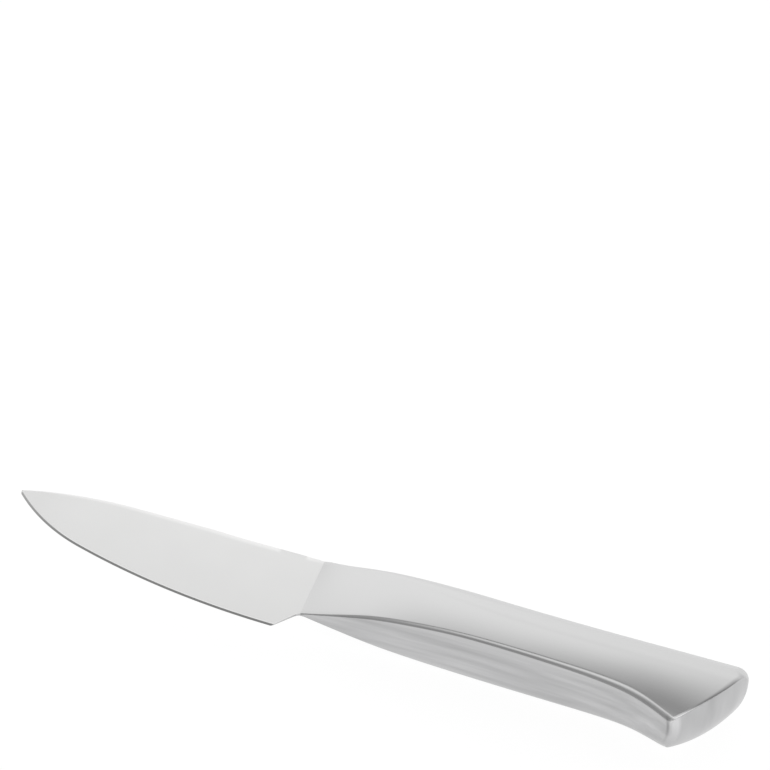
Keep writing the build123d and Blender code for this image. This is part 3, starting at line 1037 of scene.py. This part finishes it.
class BuildHandle(bpy.types.Operator):
    """Makes the two pressed halves of the handle, the seam between them and the ring at the neck"""

    bl_idname = "knife.handle"
    bl_label = "Hollow handle"

    def execute(self, context):
        sizes, colours = context.scene.knife_sizes, context.scene.knife_finish
        material = handle_steel(colours)
        outer, normals, polish, strip, corner = handle_grids(sizes)
        inner, _, _, inner_strip, _ = handle_grids(sizes, sizes.wall)
        shell = np.s_[WELD_ROWS:, SEAM_COLUMNS:ALL_COLUMNS - SEAM_COLUMNS]
        skins = outer[shell], inner[shell], normals[shell]
        marks = {"polish": polish[shell], "corner": corner[shell]}
        turned = {mark: values[:, ::-1] for mark, values in marks.items()}
        made = {
            "handle_shell_right": walled_patch("right_half", sizes, *skins, marks),
            "handle_shell_left": walled_patch("left_half", sizes, *map(mirrored, skins), turned),
        }

        def ribbon(grid, middle):
            """The seam's strip along spine, butt and belly, from the middle out on both sides."""
            top = grid[WELD_ROWS:, :SEAM_COLUMNS + 1]
            bottom = grid[WELD_ROWS:][::-1, ::-1][:, :SEAM_COLUMNS + 1]
            half = np.concatenate((top, middle, bottom))
            return np.concatenate((mirrored(half)[:, :-1], half), axis=1)

        over_butt = len(strip[0])
        ribbon_polish = np.concatenate((
            polish[WELD_ROWS:, 0], np.ones(over_butt + len(polish) - WELD_ROWS)))
        way = np.concatenate((corner[WELD_ROWS:, 0], np.linspace(*SEAM_WAY, over_butt),
                              corner[WELD_ROWS:, -1][::-1]))
        across = np.ones(2 * SEAM_COLUMNS + 1)
        made["seam_weld"] = walled_patch(
            "seam", sizes, ribbon(outer, strip[0]), ribbon(inner, inner_strip[0]),
            ribbon(normals, strip[1]),
            {"polish": ribbon_polish[:, None] * across, "corner": way[:, None] * across})

        ring = np.s_[:WELD_ROWS + 1]
        out, inside = both_halves(outer[ring]), both_halves(inner[ring])
        rows, around = out.shape[:2]
        index = np.arange(2 * rows * around).reshape(2 * rows, around)
        points = np.concatenate((out, inside[::-1])).reshape(-1, 3)
        faces = quads_of(index, wrap_columns=True, wrap_rows=True)
        side_row = np.repeat(np.arange(2 * rows), around)
        flat = side_row[:len(faces)] % rows == rows - 1
        inside_normals = both_halves(-grid_normals(inner[ring]))[::-1]
        ring_normals = np.concatenate((both_halves(normals[ring]), inside_normals)).reshape(-1, 3)
        ring_polish = np.tile(both_halves(polish[ring]), (2, 1)).ravel()
        marks = {"polish": ring_polish, "corner": np.full(len(points), RING_WAY)}
        made["neck_weld"] = new_piece("neck_ring", points, faces, sizes, marks, ring_normals, flat)
        for node, piece in made.items():
            piece.data.materials.append(material)
            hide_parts(node)
        return {"FINISHED"}


def lay_floor(colours):
    """A large square floor: matt where it lights the knife, white where it is seen or mirrored.

    In reflections it is darkened by painted shade, more so from the knife's belly out to the front.
    """
    corners = np.array(((-1, -1, 0), (1, -1, 0), (1, 1, 0), (-1, 1, 0))) * FLOOR_REACH
    mesh = bpy.data.meshes.new("floor")
    mesh.from_pydata(corners.tolist(), [], [(0, 1, 2, 3)])
    floor = add_object("floor", mesh)
    material = bpy.data.materials.new("floor_white")
    finish = Finish(material)
    path = finish.node("ShaderNodeLightPath", {})
    camera, glossy, through = (
        Value(finish, path[f"Is {ray} Ray"]) for ray in ("Camera", "Glossy", "Transmission"))
    matt, shadow = (finish.node("ShaderNodeBsdfDiffuse", {"Color": (*colour, 1)})
                    for colour in (colours.floor_white, (FLOOR_SHADOW,) * 3))
    front = finish.axis("Y") * -1
    # Painted shade: the floor darkens only where the steel reflects it, more further in front
    painted_floor_shade = glossy * (front.ramp(*FLOOR_FRONT) * FLOOR_FRONT_SHADE + FLOOR_PAINTED_SHADE)
    light = finish.scaled((1, 1, 1), FLOOR_GLOW - painted_floor_shade)
    glow = finish.node("ShaderNodeEmission", {"Color": light, "Strength": 1.0})
    white = finish.node("ShaderNodeAddShader", {0: shadow[0], 1: glow[0]})
    seen = (camera + glossy + through).clipped()
    mixed = finish.node("ShaderNodeMixShader", {0: seen, 1: matt[0], 2: white[0]})
    finish.node("ShaderNodeOutputMaterial", {"Surface": mixed[0]})
    floor.data.materials.append(material)


def light_studio(scene):
    """The studio as a sky whose brightness follows the angle about the X axis."""
    world = bpy.data.worlds.new("studio")
    scene.world = world
    room = Finish(world)
    direction = room.node("ShaderNodeTexCoord", {})["Generated"]
    parts = room.node("ShaderNodeSeparateXYZ", {"Vector": direction})
    x, y, z = (Value(room, part) for part in parts)
    angle = z.math("ARCTAN2", z, y) * (180 / math.pi)
    stops = [(degrees / 180, (level, level, level, 1)) for degrees, level in STUDIO_LEVELS]
    stops = [stops[0], stops[-1], *stops[1:-1]]
    shade = room.node("ShaderNodeValToRGB", {"Fac": angle * (1 / 180)}, stops=stops)
    box = x.ramp(*BOX_X) * BOX_FADE * angle.ramp(*BOX_DEGREES)
    strip = x.ramp(*STRIP_X) * STRIP_FADE * angle.band(*STRIP_DEGREES)
    colour = room.scaled(shade[0], 1 - box - strip)
    background = room.node("ShaderNodeBackground", {"Color": colour, "Strength": 1.0})
    room.node("ShaderNodeOutputWorld", {"Surface": background[0]})


def hang_lamp():
    """A soft lamp behind the knife, which no reflection shows."""
    lamp = bpy.data.lights.new("softbox", "AREA")
    lamp.shape = "RECTANGLE"
    lamp.size, lamp.size_y = LAMP_SIZE
    lamp.energy = LAMP_WATTS
    box = add_object("softbox", lamp)
    away = Vector(LAMP_WAY).normalized()
    box.location = away * LAMP_DISTANCE
    box.rotation_euler = away.to_track_quat("Z", "Y").to_euler()
    box.visible_glossy = False


def place_camera(scene, view):
    """The camera on a sphere about its aim, turned back to it and rolled."""
    camera = bpy.data.cameras.new("camera")
    camera.lens = view.lens
    eye = add_object("camera", camera)
    level = math.cos(view.elevation)
    back = Vector((level * math.cos(view.azimuth), level * math.sin(view.azimuth),
                   math.sin(view.elevation)))
    turn = back.to_track_quat("Z", "Y").to_matrix() @ Matrix.Rotation(view.roll, 3, "Z")
    eye.matrix_world = Matrix.Translation(Vector(view.aim) + back * view.distance) @ turn.to_4x4()
    scene.camera = eye


class BuildStage(bpy.types.Operator):
    """Sets the white floor, the soft light and the camera"""

    bl_idname = "knife.stage"
    bl_label = "Floor, light and camera"

    def execute(self, context):
        scene = context.scene
        scene.view_settings.view_transform = "Standard"
        lay_floor(scene.knife_finish)
        light_studio(scene)
        hang_lamp()
        place_camera(scene, scene.knife_camera)
        return {"FINISHED"}


class KnifePanel(bpy.types.Panel):
    """Sizes, colours and camera of the knife, with the buttons that build it"""

    bl_idname = "VIEW3D_PT_knife"
    bl_label = "Paring knife"
    bl_space_type = "VIEW_3D"
    bl_region_type = "UI"
    bl_category = "Knife"

    def draw(self, context):
        layout = self.layout
        for operator in OPERATORS:
            layout.operator(operator.bl_idname)
        for group in GROUPS:
            sizes = getattr(context.scene, group)
            column = layout.column()
            for name in sizes.__annotations__:
                column.prop(sizes, name)


GROUPS = {"knife_sizes": KnifeSizes, "knife_finish": KnifeFinish, "knife_camera": KnifeCamera}
OPERATORS = (BuildStage, BuildBlade, BuildHandle)


def register():
    for name, group in GROUPS.items():
        bpy.utils.register_class(group)
        setattr(bpy.types.Scene, name, PointerProperty(type=group))
    for operator in OPERATORS:
        bpy.utils.register_class(operator)
    bpy.utils.register_class(KnifePanel)


def unregister():
    bpy.utils.unregister_class(KnifePanel)
    for operator in reversed(OPERATORS):
        bpy.utils.unregister_class(operator)
    for name, group in GROUPS.items():
        delattr(bpy.types.Scene, name)
        bpy.utils.unregister_class(group)


def main():
    register()
    bpy.ops.knife.stage()
    bpy.ops.knife.blade()
    bpy.ops.knife.handle()


if __name__ == "__main__":
    main()
